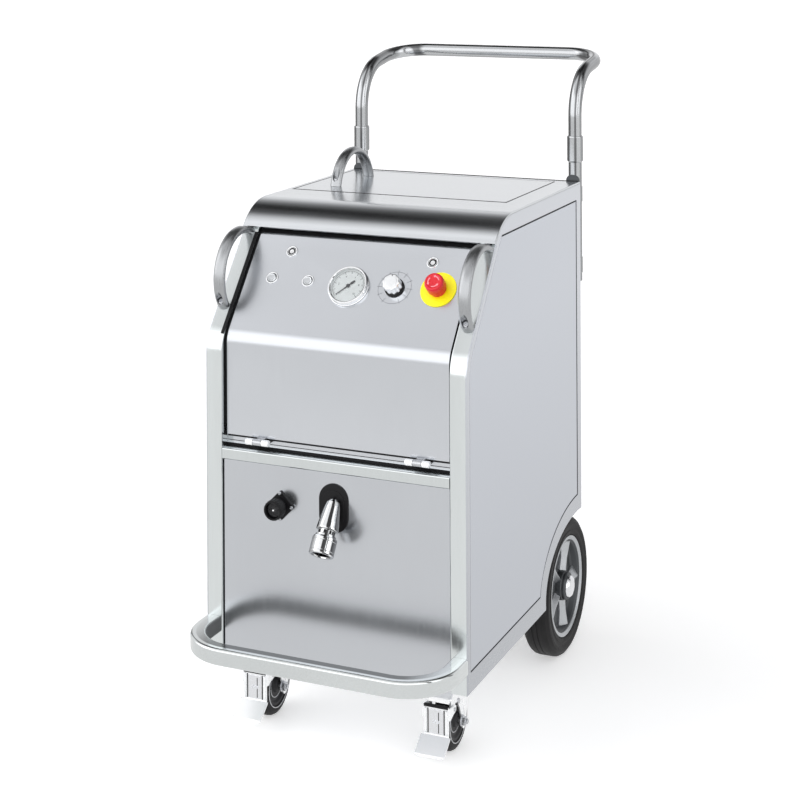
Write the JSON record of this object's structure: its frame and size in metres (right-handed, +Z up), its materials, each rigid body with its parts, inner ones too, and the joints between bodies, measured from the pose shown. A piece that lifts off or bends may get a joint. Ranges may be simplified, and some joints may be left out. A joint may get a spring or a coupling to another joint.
{
  "type": "steam cleaner",
  "caption": "Wheeled stainless steel steam cleaner with a hinged control flap, a lid over the water tank, a steam outlet, a bumper rail and a tubular push handle.",
  "frame": {"origin": "on the floor, at the middle of the machine's overall width and length", "axes": "+Z up, the control side faces -Y, +X is the right-hand side of the machine as seen from the front"},
  "size_m": [0.4716, 0.908, 1.1151],
  "materials": {
    "satin_steel": "satin sheet steel with a fine vertical grain",
    "side_steel": "pale satin sheet steel",
    "polished_steel": "polished steel tube",
    "handle_steel": "fine satin, oval bar",
    "zinc": "bright zinc plating",
    "chrome": "polished chrome plating",
    "cast_alloy": "cast aluminium with machined faces",
    "black_rubber": "matt black rubber",
    "tyre_rubber": "solid rubber with a light grey bloom",
    "black_plastic": "matt black moulding",
    "white_plastic": "white moulding",
    "red_plastic": "red moulding with a light sheen",
    "yellow_plastic": "yellow plate",
    "lens": "clear flat window",
    "brass": "machined brass",
    "tank_plastic": "natural white moulding",
    "grey_paint": "grey enamel"
  },
  "bodies": {
    "chassis": {"side_frame_left": "polished_steel", "side_frame_right": "polished_steel", "front_crossbar": "polished_steel", "front_bumper": "polished_steel", "floor_plate": "satin_steel", "side_panel_left": "side_steel", "side_panel_right": "side_steel", "top_cover": "satin_steel", "rear_panel": "satin_steel", "lower_front_panel": "satin_steel", "flap_seal": "black_rubber", "flap_hinge_leaf_left": "zinc", "flap_hinge_leaf_right": "zinc", "grab_handle_left": "handle_steel", "grab_handle_right": "handle_steel", "handle_socket_left": "polished_steel", "handle_socket_right": "polished_steel", "socket_connector": "black_plastic", "outlet_grommet": "black_rubber", "outlet_pipe": "chrome", "rear_axle": "zinc", "caster_plate_left": "zinc", "caster_plate_right": "zinc", "lid_hinge_leaf": "zinc", "boiler": "grey_paint", "boiler_heater": "brass", "safety_valve": "brass", "water_tank": "tank_plastic", "pump": "grey_paint", "solenoid_valve": "brass", "steam_hose": "black_rubber", "control_box": "grey_paint"},
    "flap": {"control_flap": "satin_steel", "flap_hinge_wing_left": "zinc", "flap_hinge_wing_right": "zinc", "gauge_case": "chrome", "gauge_lens": "lens", "estop_plate": "yellow_plastic"},
    "lid": {"top_lid": "satin_steel", "lid_handle": "handle_steel", "lid_hinge_wing": "zinc"},
    "handle": {"push_handle": "polished_steel"},
    "sleeve": {"coupling_sleeve": "chrome"},
    "needle": {"gauge_needle": "black_plastic"},
    "knob": {"control_knob": "white_plastic"},
    "estop": {"estop_button": "red_plastic"},
    "button_left": {"push_button_left": "chrome"},
    "button_right": {"push_button_right": "chrome"},
    "lock_left": {"latch_left": "chrome"},
    "lock_right": {"latch_right": "chrome"},
    "fork_left": {"caster_fork_left": "zinc"},
    "fork_right": {"caster_fork_right": "zinc"},
    "front_wheel_left": {"caster_wheel_left": "tyre_rubber"},
    "front_wheel_right": {"caster_wheel_right": "tyre_rubber"},
    "brake_left": {"brake_pedal_left": "zinc"},
    "brake_right": {"brake_pedal_right": "zinc"},
    "rear_wheel_left": {"rear_rim_left": "cast_alloy", "rear_tyre_left": "tyre_rubber"},
    "rear_wheel_right": {"rear_rim_right": "cast_alloy", "rear_tyre_right": "tyre_rubber"}
  },
  "joints": [
    {"name": "access_flap_tilt", "type": "hinge", "parent": "chassis", "child": "flap", "pos_m": [0, -0.33208, 0.506], "axis": [1, 0, 0], "range_deg": [0, 95]},
    {"name": "access_lid_hinge", "type": "hinge", "parent": "chassis", "child": "lid", "pos_m": [0.199, 0.09892, 0.871], "axis": [0, 1, 0], "range_deg": [0, 95]},
    {"name": "control_estop_press", "type": "slide", "parent": "flap", "child": "estop", "axis": [0, 0.7727, -0.6347], "range_m": [0, 0.004]},
    {"name": "control_knob_turn", "type": "hinge", "parent": "flap", "child": "knob", "pos_m": [0.075, -0.24937, 0.76332], "axis": [0, 0.7727, -0.6347], "range_deg": [0, 270]},
    {"name": "control_needle_turn", "type": "hinge", "parent": "flap", "child": "needle", "pos_m": [-0.0065, -0.25318, 0.75868], "axis": [0, 0.7727, -0.6347], "range_deg": [0, 270]},
    {"name": "button_left_press", "type": "slide", "parent": "flap", "child": "button_left", "axis": [0, 0.7727, -0.6347], "range_m": [0, 0.0025]},
    {"name": "button_right_press", "type": "slide", "parent": "flap", "child": "button_right", "axis": [0, 0.7727, -0.6347], "range_m": [0, 0.0025]},
    {"name": "handle_lift", "type": "slide", "parent": "chassis", "child": "handle", "axis": [0, 0, 1], "range_m": [0, 0.03]},
    {"name": "latch_left_turn", "type": "hinge", "parent": "flap", "child": "lock_left", "pos_m": [-0.1305, -0.21732, 0.80234], "axis": [0, -0.7727, 0.6347], "range_deg": [0, 90]},
    {"name": "latch_right_turn", "type": "hinge", "parent": "flap", "child": "lock_right", "pos_m": [0.1305, -0.21732, 0.80234], "axis": [0, 0.7727, -0.6347], "range_deg": [0, 90]},
    {"name": "sleeve_release", "type": "slide", "parent": "chassis", "child": "sleeve", "axis": [0, 0.5821, 0.8131], "range_m": [0, 0.006]},
    {"name": "caster_left_swivel", "type": "hinge", "parent": "chassis", "child": "fork_left", "pos_m": [-0.181, -0.17508, 0.128], "axis": [0, 0, 1], "continuous": true},
    {"name": "caster_left_wheel_spin", "type": "hinge", "parent": "fork_left", "child": "front_wheel_left", "pos_m": [-0.181, -0.20708, 0.05], "axis": [1, 0, 0], "continuous": true},
    {"name": "caster_left_brake_press", "type": "hinge", "parent": "fork_left", "child": "brake_left", "pos_m": [-0.181, -0.24508, 0.084], "axis": [1, 0, 0], "range_deg": [0, 8.5]},
    {"name": "caster_right_swivel", "type": "hinge", "parent": "chassis", "child": "fork_right", "pos_m": [0.152, -0.17508, 0.128], "axis": [0, 0, 1], "continuous": true},
    {"name": "caster_right_wheel_spin", "type": "hinge", "parent": "fork_right", "child": "front_wheel_right", "pos_m": [0.152, -0.20708, 0.05], "axis": [1, 0, 0], "continuous": true},
    {"name": "caster_right_brake_press", "type": "hinge", "parent": "fork_right", "child": "brake_right", "pos_m": [0.152, -0.24508, 0.084], "axis": [1, 0, 0], "range_deg": [0, 8.5]},
    {"name": "rear_wheel_left_spin", "type": "hinge", "parent": "chassis", "child": "rear_wheel_left", "pos_m": [-0.187, 0.23192, 0.125], "axis": [1, 0, 0], "continuous": true},
    {"name": "rear_wheel_right_spin", "type": "hinge", "parent": "chassis", "child": "rear_wheel_right", "pos_m": [0.187, 0.23192, 0.125], "axis": [1, 0, 0], "continuous": true}
  ]
}
